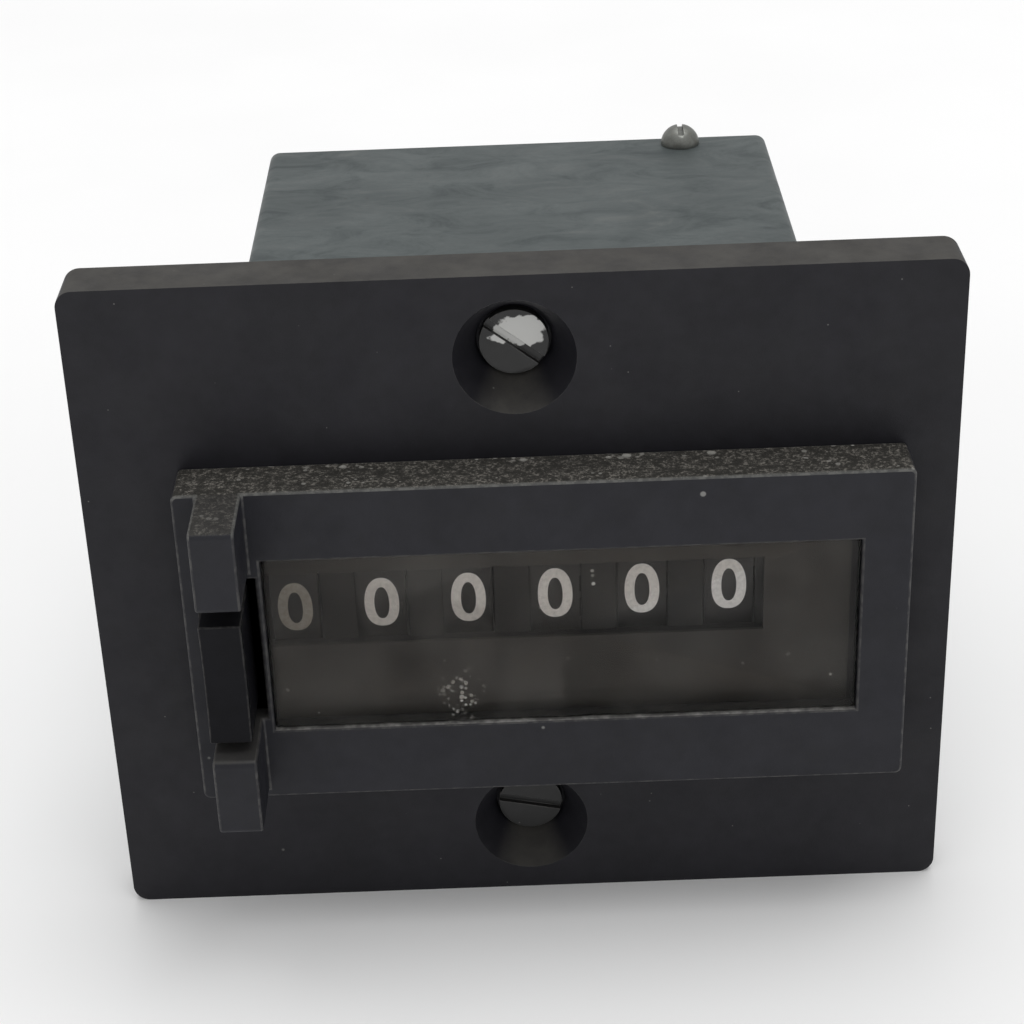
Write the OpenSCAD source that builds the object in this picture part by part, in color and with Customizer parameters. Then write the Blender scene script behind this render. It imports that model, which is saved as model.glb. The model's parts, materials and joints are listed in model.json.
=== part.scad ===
// Six-figure electric impulse counter with push reset, for panel mounting.
// +X to the right, +Y into the panel, +Z up. The origin is the centre of the
// flange's rear face, midway between the two panel screws.

/* [Flange] */
// Width of the flange
flange_w = 75; // [72:0.5:95]
// Height of the flange
flange_h = 62; // [60:0.5:80]
// Thickness of the flange
flange_t = 5; // [4.6:0.1:7]
// Corner radius of the flange
flange_corner = 1.5; // [0.5:0.1:4]

/* [Panel screws] */
// Distance between the two panel screws, along Z
screw_spacing = 47.2; // [44:0.1:52]
// Diameter of the recess at the flange's front face
recess_rim_d = 10.4; // [8:0.1:12]
// Diameter of the recess at its floor
recess_floor_d = 6.4; // [6.2:0.1:7.5]
// Thickness of the flange left under the recess
recess_floor_t = 0.8; // [0.8:0.1:1.6]
// Depth of the straight wall at the foot of the recess
recess_wall = 0.4; // [0.2:0.1:1]
// Thread diameter of a panel screw
screw_d = 3; // [2.5:0.5:3.5]
// Clearance of a panel screw in its hole, on the diameter
screw_play = 0.4; // [0.2:0.1:0.6]
// Head diameter of a panel screw
screw_head_d = 5.9; // [5:0.1:6]
// Head height of a panel screw
screw_head_h = 1; // [1:0.1:2]
// Length of a panel screw's shank behind the flange
screw_reach = 9; // [6:0.5:14]
// Width of the drive slot in a panel screw
screw_slot_w = 0.8; // [0.5:0.1:1]
// Depth of the drive slot in a panel screw
screw_slot_t = 0.5; // [0.4:0.05:0.7]
// Diameter of a panel screw's neck between its head and its thread
screw_neck_d = 2.5; // [2.2:0.1:2.7]

/* [Window and bezel] */
// Width of the window
window_w = 51; // [48:0.1:54]
// Height of the window
window_h = 17; // [14:0.1:18]
// How far the window's middle lies below the wheel shaft
window_drop = 2.1; // [1:0.05:3]
// Window edge beyond the middle of the leftmost wheel
window_lead = 2.325; // [1.9:0.025:2.4]
// How far the bezel stands out of the flange
bezel_t = 5; // [4.5:0.1:6.5]
// Thickness of the bezel's front wall
bezel_wall = 1.8; // [1.4:0.1:2.2]
// Bezel margin right of the window
bezel_right = 4.3; // [3:0.1:6]
// Bezel margin above the window
bezel_above = 6.6; // [5.5:0.1:7.5]
// Bezel margin below the window
bezel_below = 7; // [6:0.1:8.5]
// Bezel margin left of the reset key's slot
bezel_left = 1.5; // [1.2:0.1:2.5]
// Wall between the key's slot and the window
divider_t = 0.5; // [0.4:0.05:0.6]
// Wall of the collar behind the bezel
collar_wall = 1; // [0.8:0.1:1.4]
// How far the lens lies behind the bezel's face
lens_recess = 0.4; // [0.2:0.1:0.8]
// Thickness of the lens's rear flange
lens_flange_t = 0.8; // [0.6:0.1:1]
// How far the lens's rear flange reaches past the window
lens_lap = 1.2; // [0.8:0.1:1.4]
// Thickness of the digit mask
mask_t = 0.55; // [0.4:0.05:0.8]
// Height of the mask's opening above the wheel shaft
mask_above = 3.6; // [3:0.1:4.5]
// Height of the mask's opening below the wheel shaft
mask_below = 3.75; // [3:0.05:4.5]
// Mask opening beyond the middle of the units wheel
mask_lead = 2.925; // [2.5:0.025:3.5]

/* [Reset key] */
// Width of the key
key_w = 3.6; // [3:0.1:4]
// Height of the key
key_h = 11.6; // [10:0.1:12.4]
// Height of the slot the key works in
key_slot_h = 14.1; // [13.2:0.1:15]
// Side play left of the key
key_gap = 0.4; // [0.2:0.1:0.8]
// How far the key stands out of the bezel
key_proud = 5.2; // [4.4:0.1:6]
// How far the guards stand out of the bezel
guard_proud = 6.8; // [5.5:0.1:8]
// Width of the guards
guard_w = 3.8; // [3.4:0.1:4.2]
// Length of the lower guard
guard_low_h = 7.4; // [6:0.1:8]
// Thickness of the key's stem
stem_t = 1.1; // [0.9:0.1:1.3]
// Height of the key's stem
stem_h = 1.6; // [1.3:0.1:2]
// Length of the crank that the stem turns
crank_len = 8.2; // [7.6:0.1:9]
// Turn of the reset comb at full press, in degrees
reset_turn = 20; // [16:1:22]

/* [Number wheels] */
// Distance between neighbouring wheels
wheel_pitch = 7.55; // [7.5:0.05:9.1]
// Diameter of a number wheel
drum_d = 22; // [20:0.5:22.5]
// Width of a number wheel's drum
drum_w = 4.2; // [4:0.05:5]
// Thickness of the drum's rim
drum_rim = 1.2; // [0.8:0.1:1.6]
// Width of the gear or ratchet on a wheel
gear_w = 1.2; // [1:0.05:1.4]
// Width of the zero cam on a wheel
cam_w = 0.8; // [0.7:0.05:1]
// Diameter of the wheel shaft
shaft_d = 3; // [2.4:0.1:3.2]
// Diameter of the pinion shaft
pinion_shaft_d = 1.8; // [1.4:0.1:2]
// Radial running clearance of wheels and pinions
run_gap = 0.05; // [0.03:0.01:0.08]
// Middle of the wheel bank, from the flange's middle
bank_x = -1; // [-2:0.1:0]
// Height of the wheel shaft above the flange's middle
wheel_z = 1.4; // [0.5:0.1:2]

/* [Frame and housing] */
// Thickness of the side frames
frame_t = 1; // [0.8:0.1:1.4]
// Room between the leftmost wheel and its frame
frame_gap = 0.7; // [0.5:0.05:1.2]
// Room for the spring lever beside the units wheel
lever_room = 4.6; // [4.4:0.1:6]
// Depth of the metal housing behind the flange
can_depth = 65.3; // [62:0.1:80]
// Height of the metal housing
can_h = 34; // [33.4:0.1:38]
// Wall of the metal housing
can_t = 0.8; // [0.6:0.1:1]
// Room between the frames and the housing
can_gap = 0.28; // [0.2:0.02:0.6]
// Thickness of the terminal board
board_t = 3; // [2.6:0.1:4]

/* [Magnet] */
// Outer diameter of the coil winding
coil_d = 16; // [14:0.5:17]
// Length of the coil between its cheeks
coil_len = 20; // [16:0.1:22]
// Diameter of the iron core
core_d = 6; // [5:0.5:7]
// Turn of the armature when the magnet pulls, in degrees
pull_turn = 3; // [2:0.25:3]

/* [Hidden] */
$fn = 64;
slip = 0.1;
wheels = 6;
gear_teeth = 20;
pinion_teeth = 8;
drum_r = drum_d / 2;

// depths, from the bezel's face to the wheel shaft
front_y = -flange_t - bezel_t;
shelf_y = front_y + bezel_wall;
mask_gap = 0.05;
ledge_h = 1.4;
ledge_lap = 0.15;
bar_t = 0.3;
mask_y = shelf_y + lens_flange_t + mask_gap;
drum_gap = 0.4;
bar_y0 = mask_y + mask_t + drum_gap;
bar_y1 = bar_y0 + bar_t;
wheel_y = bar_y0 + drum_r;

// places across the wheel bank; wheel 0 is the units wheel
function wheel_x(i) = bank_x + ((wheels - 1) / 2 - i) * wheel_pitch;
left_in = wheel_x(wheels - 1) - drum_w / 2 - frame_gap;
left_out = left_in - frame_t;
right_in = wheel_x(0) + drum_w / 2 + gear_w + cam_w + lever_room;
right_out = right_in + frame_t;
stem_gap = 0.3;
stem_x1 = left_out - stem_gap;
stem_x0 = stem_x1 - stem_t;
can_in_x0 = stem_x0 - can_gap;
can_in_x1 = right_out + can_gap;
can_x0 = can_in_x0 - can_t;
can_x1 = can_in_x1 + can_t;
can_in_z = can_h / 2 - can_t;
can_corner = 1.2;
can_seat = 0.3;
seat_play = 0.15;
board_y0 = can_depth - board_t - 0.2;

// window, key slot and bezel outline
window_x0 = wheel_x(wheels - 1) - window_lead;
window_x1 = window_x0 + window_w;
window_z0 = wheel_z - window_drop - window_h / 2;
window_z1 = window_z0 + window_h;
key_lip = 0.375;
key_x1 = stem_x1 + key_lip;
key_x0 = key_x1 - key_w;
key_z = -1.1;
key_z0 = key_z - key_h / 2;
key_z1 = key_z + key_h / 2;
slot_rise = 0.25;
slot_x0 = key_x0 - key_gap;
slot_x1 = window_x0 - divider_t;
slot_z0 = key_z + slot_rise - key_slot_h / 2;
slot_z1 = slot_z0 + key_slot_h;
bezel_x0 = slot_x0 - bezel_left;
bezel_x1 = window_x1 + bezel_right;
bezel_z0 = window_z0 - bezel_below;
bezel_z1 = window_z1 + bezel_above;
bezel_corner = 0.6;
guard_rise = 0.65;
guard_inset = 0.2;
guard_round = 0.6;

// hollow behind the bezel's front wall, and the key's well beside it
cavity_x0 = wheel_x(wheels - 1) - drum_w / 2 - 0.32;
cavity_x1 = window_x1 + lens_lap;
cavity_z0 = window_z0 - lens_lap - 2.2;
cavity_z1 = window_z1 + lens_lap + 2.6;
well_wall = 0.4;
well_x1 = cavity_x0 - well_wall;
well_over = 1;
well_z0 = slot_z0 - well_over;
well_z1 = slot_z1 + well_over;
well_floor_t = 0.9;
collar_back = can_seat + 0.05;
collar_x0 = slot_x0 - 0.7;
collar_x1 = cavity_x1 + collar_wall - 0.1;
collar_z0 = cavity_z0 - collar_wall;
collar_z1 = cavity_z1 + collar_wall;

// key stem, crank and reset comb
lip_t = 2.7;
key_back = shelf_y + slip + lip_t;
finger_mid_r = (drum_r + 4.6) / 2;
finger_dir = 60;
finger_len = drum_r * 1.05;
finger_w = 1.2;
finger_t = 0.5;
comb_y = wheel_y + finger_mid_r * cos(finger_dir) + finger_len * sin(finger_dir);
comb_z = wheel_z + finger_mid_r * sin(finger_dir) - finger_len * cos(finger_dir);
comb_hub_r = 2;
crank_tip_r = 0.95;
crank_bar = 1.2;
crank_y = comb_y - crank_len * sin(reset_turn / 2);
crank_z = comb_z - crank_len * cos(reset_turn / 2);
stem_z0 = comb_z - crank_len - crank_tip_r - 0.95;
notch_w = 2.24;
fork_wall = 0.9;
fork_top = crank_z + 1.2;
notch_floor = 0.75;
lever_reach = 6;
lever_w = 1;
lever_r = 1.2;
lever_x = right_in - 2.2;

// pinions sit behind and below the wheels
pinion_dir = -50;
pinion_gap = 0.65;
pinion_c = drum_r + pinion_shaft_d / 2 + pinion_gap;
tooth_m = 2 * pinion_c / (gear_teeth + pinion_teeth);
pinion_y = wheel_y + pinion_c * cos(pinion_dir);
pinion_z = wheel_z + pinion_c * sin(pinion_dir);
pinion_hub_r = 1.8;
pinion_side = 0.1;
lock_r = pinion_c - pinion_hub_r - 0.55;
lock_tip_r = lock_r + 0.3;
lock_w = 1.1;
hub_r = 2.3;
cam_low_r = 2.6;
cam_high_r = 4.5;
hub_left = wheel_pitch - drum_w / 2 - gear_w - cam_w - run_gap;
pinion_x0 = drum_w / 2 + pinion_side;
pinion_x1 = wheel_pitch - drum_w / 2 - 0.05;

// ratchet, feed pawl and detent
ratchet_teeth = 20;
ratchet_r = 7.4;
ratchet_root = 6.3;
ratchet_phase = 4.5;
pawl_t = 0.9;
pawl_x0 = wheel_x(0) + drum_w / 2 + 0.2;

// magnet
pivot_y = comb_y + 8.7;
pivot_z = 12.6;
pivot_r = 1;
knuckle_r = 2;
blade_t = 1.2;
blade_y = pivot_y - 0.6;
coil_x = 0;
coil_z = -0.6;
pole_gap = 0.1;
core_y0 = blade_y + blade_t + (pivot_z - coil_z + core_d / 2) * sin(pull_turn) + pole_gap;
cheek_t = 1;
bobbin_wall = 0.95;
bobbin_y0 = core_y0 + 1.5;
yoke_y0 = bobbin_y0 + coil_len + 2 * cheek_t + 0.2;
yoke_t = 2;
yoke_w = 18;
yoke_arm_z = coil_z + coil_d / 2 + 2.4;
yoke_arm_t = 1.8;
core_tail_d = 4;

// tie rods between the frames: [y, z]
rod_r = 1.2;
rod_end_r = 0.8;
rod_low_z = -12.5;
comb_rod = [comb_y + lever_reach, rod_low_z];
armature_rod = [pivot_y + lever_reach, rod_low_z];
rods = [comb_rod, armature_rod, [comb_y + 1.7, 14.4], [board_y0 - 5, rod_low_z]];
tail_x = -14;

// small screws
lug_t = 1;
lug_y1 = lug_t - can_seat;
lug_in = 5.2;
lug_screw_in = 3.2;
lug_z1 = can_in_z - 0.3;
lug_h = 2.1;
tap_r = 0.8;
tap_len = 3.4;
tap_head_r = 1.3;
tap_head_h = 0.9;
dome_r = 2.1;
dome_x = wheel_x(0) + 1.2;
dome_y = board_y0 + board_t / 2;
dome_shank = 4;

// ---- helpers ----

// box between two corners
module block(a, b) {
  translate(a) cube([b[0] - a[0], b[1] - a[1], b[2] - a[2]]);
}

// outline in X and Z, drawn out along Y from y0 to y1
module slab_y(y0, y1) {
  translate([0, y1, 0]) rotate([90, 0, 0]) linear_extrude(y1 - y0) children();
}

// outline in Y and Z, drawn out along X from x0 to x1
module slab_x(x0, x1) {
  translate([x0, 0, 0]) rotate([90, 0, 90]) linear_extrude(x1 - x0) children();
}

// round bar or cone along Y
module bar_y(x, z, y0, y1, r0, r1) {
  translate([x, y0, z]) rotate([-90, 0, 0]) cylinder(h = y1 - y0, r1 = r0, r2 = r1);
}

// round bar along X
module bar_x(y, z, x0, x1, r) {
  translate([x0, y, z]) rotate([0, 90, 0]) cylinder(h = x1 - x0, r = r);
}

// rectangle from corner to corner with round corners
module round_rect(a, b, r) {
  translate([a[0] + r, a[1]]) square([b[0] - a[0] - 2 * r, b[1] - a[1]]);
  translate([a[0], a[1] + r]) square([b[0] - a[0], b[1] - a[1] - 2 * r]);
  for (x = [a[0] + r, b[0] - r], z = [a[1] + r, b[1] - r])
    translate([x, z]) circle(r);
}

// straight round wire between two points
module wire(p, q, r) {
  d = q - p;
  translate(p)
    rotate([0, acos(d[2] / norm(d)), atan2(d[1], d[0])])
      cylinder(h = norm(d), r = r, $fn = 24);
}

// gear outline with straight-flanked teeth
module gear_outline(teeth, m, phase) {
  pitch_r = m * teeth / 2;
  tip_r = pitch_r + 0.72 * m;
  root_r = pitch_r - 1.05 * m;
  step = 360 / teeth;
  tip_half = 0.2 * m / tip_r * 180 / PI;
  root_half = 0.8 * m / root_r * 180 / PI;
  polygon([
    for (i = [0 : teeth - 1], k = [0 : 3])
      let (
        r = k == 0 || k == 3 ? root_r : tip_r,
        half = k == 0 || k == 3 ? min(root_half, step / 2.2) : tip_half,
        a = phase + i * step + (k < 2 ? -half : half)
      ) r * [cos(a), sin(a)]
  ]);
}

// ratchet outline: one steep and one sloping flank on each tooth
module ratchet_outline() {
  step = 360 / ratchet_teeth;
  polygon([
    for (i = [0 : ratchet_teeth - 1], k = [0 : 2])
      let (
        r = k == 1 ? ratchet_r : ratchet_root,
        a = ratchet_phase + i * step + [0, 0.12, 0.3][k] * step
      ) r * [cos(a), sin(a)]
  ]);
}

// heart-shaped zero cam, its low point towards angle a0
module cam_outline(a0) {
  polygon([
    for (a = [-180 : 6 : 174])
      (cam_low_r + (cam_high_r - cam_low_r) * abs(a) / 180) * [cos(a + a0), sin(a + a0)]
  ]);
}

// tension spring along Z with a straight tail at each end
module tension_spring(x, y, z0, z1, coil_r, wire_r, turns) {
  tail = 1.2;
  sides = 6;
  steps = 14;
  rings = turns * steps;
  span = z1 - z0 - 2 * tail;
  function at(t) = [
    coil_r * cos(360 * turns * t),
    coil_r * sin(360 * turns * t),
    z0 + tail + span * t
  ];
  function out(t) = [cos(360 * turns * t), sin(360 * turns * t), 0];
  points = [
    for (i = [0 : rings], k = [0 : sides - 1])
      let (t = i / rings, b = 360 * k / sides)
        at(t) + wire_r * (cos(b) * out(t) + sin(b) * [0, 0, 1])
  ];
  walls = [
    for (i = [0 : rings - 1], k = [0 : sides - 1])
      let (a = i * sides + k, b = i * sides + (k + 1) % sides)
        [a, b, b + sides, a + sides]
  ];
  caps = [
    [for (k = [sides - 1 : -1 : 0]) k],
    [for (k = [0 : sides - 1]) rings * sides + k]
  ];
  translate([x, y, 0]) {
    polyhedron(points, concat(walls, caps), convexity = 10);
    for (z = [z0, z1 - tail - wire_r])
      translate([0, 0, z]) cylinder(h = tail + wire_r, r = wire_r, $fn = 24);
    for (z = [z0 + tail, z1 - tail])
      translate([0, -wire_r, z - wire_r]) cube([coil_r, 2 * wire_r, 2 * wire_r]);
  }
}

// ---- front ----

module flange_plate() {
  cut = slip;
  color("dimgray")
    difference() {
      slab_y(-flange_t, 0)
        round_rect([-flange_w / 2, -flange_h / 2], [flange_w / 2, flange_h / 2], flange_corner);
      block(
        [collar_x0 - cut, -flange_t - 1, collar_z0 - cut],
        [collar_x1 + cut, 1, collar_z1 + cut]
      );
      for (s = [-1, 1]) screw_recess(s * screw_spacing / 2);
      slab_y(-can_seat, 1)
        round_rect(
          [can_x0 - seat_play, -can_h / 2 - seat_play],
          [can_x1 + seat_play, can_h / 2 + seat_play],
          can_corner + seat_play
        );
      for (p = lug_screws()) bar_y(p[0], p[1], lug_y1 - tap_len - 0.1, 1, tap_r + 0.05, tap_r + 0.05);
    }
}

// coned recess and through hole for one panel screw
module screw_recess(z) {
  floor_y = -recess_floor_t;
  cone_y = floor_y - recess_wall;
  floor_r = recess_floor_d / 2;
  hole_r = (screw_d + screw_play) / 2;
  bar_y(0, z, -flange_t, cone_y, recess_rim_d / 2, floor_r);
  bar_y(0, z, -flange_t - 1, -flange_t, recess_rim_d / 2, recess_rim_d / 2);
  bar_y(0, z, cone_y, floor_y, floor_r, floor_r);
  bar_y(0, z, floor_y, 1, hole_r, hole_r);
}

module front_bezel() {
  color("darkslategray")
    difference() {
      union() {
        slab_y(front_y, -flange_t)
          round_rect([bezel_x0, bezel_z0], [bezel_x1, bezel_z1], bezel_corner);
        block([collar_x0, -flange_t, collar_z0], [collar_x1, -collar_back, collar_z1]);
        key_guard(slot_z1 + guard_rise, bezel_z1);
        key_guard(slot_z0 - guard_low_h, slot_z0);
      }
      block([window_x0, front_y - 1, window_z0], [window_x1, shelf_y, window_z1]);
      block(
        [cavity_x0, shelf_y, window_z0 - lens_lap - slip],
        [cavity_x1, mask_y + mask_t, window_z1 + lens_lap + slip]
      );
      block([cavity_x0, mask_y - slip, cavity_z0], [right_in, 0, cavity_z1]);
      block([slot_x0, front_y - 1, slot_z0], [slot_x1, shelf_y, slot_z1]);
      block(
        [slot_x0, shelf_y, well_z0],
        [well_x1, -collar_back - well_floor_t, well_z1]
      );
      block(
        [stem_x0 - slip, -collar_back - well_floor_t - 1, stem_z0 - slip],
        [stem_x1 + slip, 0, stem_z0 + stem_h + slip]
      );
    }
}

// one guard block beside the reset key
module key_guard(z0, z1) {
  root = front_y + bezel_wall - 0.3;
  x0 = key_x0 + guard_inset;
  slab_x(x0, x0 + guard_w) round_rect([front_y - guard_proud, z0], [root, z1], guard_round);
}

module window_lens() {
  color("lightgray", 0.5) {
    block(
      [window_x0 + slip, front_y + lens_recess, window_z0 + slip],
      [window_x1 - slip, shelf_y, window_z1 - slip]
    );
    block(
      [cavity_x0 + slip, shelf_y, window_z0 - lens_lap],
      [cavity_x1 - slip, mask_y - mask_gap, window_z1 + lens_lap]
    );
  }
}

module digit_mask() {
  mask_right = 0.5;
  bar_gap = 0.15;
  edge_x = wheel_x(0) + mask_lead;
  color("saddlebrown") {
    difference() {
      block(
        [cavity_x0 + slip, mask_y, window_z0 - lens_lap],
        [window_x1 - mask_right, mask_y + mask_t, window_z1 + lens_lap]
      );
      block(
        [cavity_x0 - 1, mask_y - 1, wheel_z - mask_below],
        [edge_x, mask_y + mask_t + 1, wheel_z + mask_above]
      );
    }
    block(
      [cavity_x0 + slip, mask_y, wheel_z - mask_below - ledge_h],
      [edge_x + ledge_h, bar_y1, wheel_z - mask_below + ledge_lap]
    );
    for (i = [0 : wheels - 2])
      figure_bar(wheel_x(i + 1) + drum_w / 2 + bar_gap, wheel_x(i) - drum_w / 2 - bar_gap);
    figure_bar(wheel_x(0) + drum_w / 2 + bar_gap, edge_x + ledge_h);
  }
}

// upright bar of the mask that fills the gap between two drums
module figure_bar(x0, x1) {
  top = wheel_z + mask_above;
  block([x0, bar_y0, wheel_z - mask_below - ledge_h], [x1, bar_y1, top + ledge_h]);
  block([x0, mask_y, top + ledge_lap], [x1, bar_y1, top + ledge_h]);
}

// ---- reset ----

module reset_key() {
  fork_y0 = crank_y - notch_w / 2 - fork_wall;
  fork_y1 = crank_y + notch_w / 2 + fork_wall;
  lip_over = 0.5;
  color("black") {
    difference() {
      block([key_x0, front_y - key_proud, key_z0], [key_x1, key_back, key_z1]);
      finger_dish();
    }
    block(
      [key_x0, key_back - lip_t, slot_z0 - lip_over],
      [key_x1, key_back, slot_z1 + lip_over]
    );
    difference() {
      union() {
        block([stem_x0, key_back, stem_z0], [stem_x1, fork_y1, stem_z0 + stem_h]);
        block([stem_x0, fork_y0, stem_z0], [stem_x1, fork_y1, fork_top]);
      }
      block(
        [stem_x0 - 1, crank_y - notch_w / 2, stem_z0 + notch_floor],
        [stem_x1 + 1, crank_y + notch_w / 2, fork_top + 1]
      );
    }
  }
}

// shallow hollow across the face of the key
module finger_dish() {
  dish_r = 40;
  dish_deep = 0.4;
  bar_x(front_y - key_proud - dish_r + dish_deep, key_z, key_x0 - 1, key_x1 + 1, dish_r);
}

module reset_comb() {
  color("silver") {
    bar_x(comb_y, comb_z, stem_x0, right_out, shaft_d / 2);
    for (i = [0 : wheels - 1]) reset_finger(wheel_x(i) + drum_w / 2 + gear_w + 0.15);
    slab_x(stem_x0, stem_x1) crank_outline();
    slab_x(lever_x - lever_w / 2, lever_x + lever_w / 2) lever_outline();
  }
}

module reset_finger(x) {
  slab_x(x, x + finger_t)
    translate([comb_y, comb_z]) {
      circle(comb_hub_r);
      rotate(90 + finger_dir - reset_turn / 2) {
        translate([0, -finger_w / 2]) square([finger_len - finger_w / 2, finger_w]);
        translate([finger_len - finger_w / 2, 0]) circle(finger_w / 2);
      }
    }
}

module crank_outline() {
  translate([comb_y, comb_z]) {
    circle(comb_hub_r + 0.2);
    rotate(-90 - reset_turn / 2) {
      translate([0, -crank_bar / 2]) square([crank_len, crank_bar]);
      translate([crank_len, 0]) circle(crank_tip_r);
    }
  }
}

module lever_outline() {
  translate([comb_y, comb_z]) {
    circle(comb_hub_r + 0.2);
    translate([0, -lever_r]) square([lever_reach, 2 * lever_r]);
    translate([lever_reach, 0]) circle(lever_r);
  }
}

module reset_spring() {
  color("gainsboro")
    tension_spring(lever_x, comb_y + lever_reach, rod_low_z + rod_r,
      comb_z - lever_r, 1.3, 0.2, 8);
}

// ---- frame ----

// centres of the frame screws, as [x, z]
function lug_screws() = [
  for (x = [left_in + lug_screw_in, right_in - lug_screw_in], s = [-1, 1])
    [x, s * (lug_z1 - lug_h / 2)]
];

// flat side frame with its bores; holes is a list of [y, z, r]
module side_frame(x0, x1, lug_x) {
  back = board_y0;
  holes = concat(
    [
      [wheel_y, wheel_z, shaft_d / 2 + run_gap],
      [pinion_y, pinion_z, pinion_shaft_d / 2 + run_gap],
      [comb_y, comb_z, shaft_d / 2 + run_gap],
      [pivot_y, pivot_z, pivot_r + run_gap]
    ],
    [for (p = rods) [p[0], p[1], rod_end_r + run_gap]]
  );
  difference() {
    union() {
      block([x0, -can_seat, -lug_z1], [x1, back, lug_z1]);
      for (s = [-1, 1])
        block(
          [min(lug_x, x0), -can_seat, s > 0 ? lug_z1 - lug_h : -lug_z1],
          [max(lug_x, x1), lug_y1, s > 0 ? lug_z1 : -lug_z1 + lug_h]
        );
    }
    for (h = holes) bar_x(h[0], h[1], x0 - 1, x1 + 1, h[2]);
    block(
      [x0 - 1, yoke_y0 - run_gap, coil_z - yoke_tab_z() - run_gap],
      [x1 + 1, yoke_y0 + yoke_t + run_gap, coil_z + yoke_tab_z() + run_gap]
    );
    for (p = lug_screws()) bar_y(p[0], p[1], -1, lug_t + 1, tap_r + 0.05, tap_r + 0.05);
  }
}

module left_frame() {
  color("lightsteelblue") side_frame(left_out, left_in, left_in + lug_in);
}

module right_frame() {
  color("lightsteelblue") side_frame(right_in, right_out, right_in - lug_in);
}

module tie_rods() {
  color("darkgray")
    for (p = rods) {
      bar_x(p[0], p[1], left_in, right_in, rod_r);
      bar_x(p[0], p[1], left_out, right_out, rod_end_r);
    }
}

module frame_screws() {
  color("gray")
    for (p = lug_screws()) {
      bar_y(p[0], p[1], lug_y1 - tap_len, lug_y1, tap_r, tap_r);
      bar_y(p[0], p[1], lug_y1, lug_y1 + tap_head_h, tap_head_r, tap_head_r);
    }
}

// ---- wheels ----

module wheel_shaft() {
  color("silver") bar_x(wheel_y, wheel_z, left_out, right_out, shaft_d / 2);
}

module shaft_spacer() {
  x0 = wheel_x(0) + drum_w / 2 + gear_w + cam_w + run_gap;
  color("khaki")
    difference() {
      bar_x(wheel_y, wheel_z, x0, right_in, hub_r);
      bar_x(wheel_y, wheel_z, x0 - 1, right_in + 1, shaft_d / 2 + run_gap);
    }
}

// one number wheel; i counts from the units wheel
module number_wheel(i) {
  left = i == wheels - 1 ? drum_w / 2 + frame_gap - slip : hub_left;
  right = drum_w / 2 + gear_w + cam_w;
  web_t = 1.4;
  color("darkolivegreen")
    translate([wheel_x(i), wheel_y, wheel_z])
      difference() {
        union() {
          slab_x(-drum_w / 2, drum_w / 2) circle(drum_r);
          slab_x(drum_w / 2, drum_w / 2 + gear_w) wheel_teeth(i);
          slab_x(drum_w / 2 + gear_w, right) cam_outline(finger_dir);
          slab_x(-left, right) circle(hub_r);
          if (i < wheels - 1) slab_x(-drum_w / 2 - lock_w, -drum_w / 2) lock_outline();
        }
        slab_x(-drum_w / 2 - lock_w - 1, drum_w / 2 - web_t)
          difference() {
            circle(drum_r - drum_rim);
            circle(hub_r);
          }
        slab_x(-left - 1, right + 1) circle(shaft_d / 2 + run_gap);
      }
}

module wheel_teeth(i) {
  if (i == 0) ratchet_outline();
  else gear_outline(gear_teeth, tooth_m, pinion_dir);
}

// locking rim with a notch between its two carry teeth
module lock_outline() {
  tooth_w = 0.8;
  spread = 9;
  difference() {
    circle(lock_r);
    rotate(pinion_dir + 90) translate([lock_r, 0]) circle(1.4);
  }
  for (s = [-1, 1])
    rotate(pinion_dir + 90 + s * spread)
      translate([drum_r - drum_rim, -tooth_w / 2]) square([lock_tip_r - drum_r + drum_rim, tooth_w]);
}

// ---- carry pinions ----

module pinion_shaft() {
  color("silver") bar_x(pinion_y, pinion_z, left_out, right_out, pinion_shaft_d / 2);
}

// pinion that drives wheel i
module carry_pinion(i) {
  color("goldenrod")
    translate([wheel_x(i), pinion_y, pinion_z])
      difference() {
        union() {
          slab_x(pinion_x0, pinion_x0 + gear_w - 2 * pinion_side)
            gear_outline(pinion_teeth, tooth_m, pinion_dir + 180 + 180 / pinion_teeth);
          slab_x(pinion_x0, pinion_x1) circle(pinion_hub_r);
        }
        slab_x(pinion_x0 - 1, pinion_x1 + 1) circle(pinion_shaft_d / 2 + run_gap);
      }
}

module pinion_spacers() {
  r = pinion_shaft_d / 2 + 0.4;
  ends = concat(
    [[left_in, wheel_x(wheels - 1) + pinion_x0 - run_gap]],
    [for (i = [wheels - 1 : -1 : 2]) [wheel_x(i) + pinion_x1 + run_gap, wheel_x(i - 1) + pinion_x0 - run_gap]],
    [[wheel_x(1) + pinion_x1 + run_gap, right_in]]
  );
  color("khaki")
    for (e = ends)
      difference() {
        bar_x(pinion_y, pinion_z, e[0], e[1], r);
        bar_x(pinion_y, pinion_z, e[0] - 1, e[1] + 1, pinion_shaft_d / 2 + run_gap);
      }
}

// ---- drive ----

// leaf spring whose bent end rests by the ratchet
module detent_spring() {
  leaf = 0.3;
  tip_dir = -60;
  tip_r = ratchet_r + 0.2;
  tip = [wheel_y + tip_r * cos(tip_dir), wheel_z + tip_r * sin(tip_dir)];
  elbow = [pinion_y - 1, pinion_z - pinion_shaft_d / 2 - 1.6];
  foot = comb_rod + [0, -rod_r - leaf];
  color("gold")
    difference() {
      slab_x(pawl_x0, pawl_x0 + pawl_t) {
        strip(tip, elbow, leaf);
        strip(elbow, foot, leaf);
        translate(comb_rod) circle(rod_r + 2 * leaf);
      }
      bar_x(comb_rod[0], comb_rod[1], pawl_x0 - 1, pawl_x0 + pawl_t + 1, rod_r);
    }
}

// flat strip between two points of an outline
module strip(p, q, t) {
  d = q - p;
  translate(p) rotate(atan2(d[1], d[0])) {
    translate([0, -t / 2]) square([norm(d), t]);
    circle(t / 2);
  }
}

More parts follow.
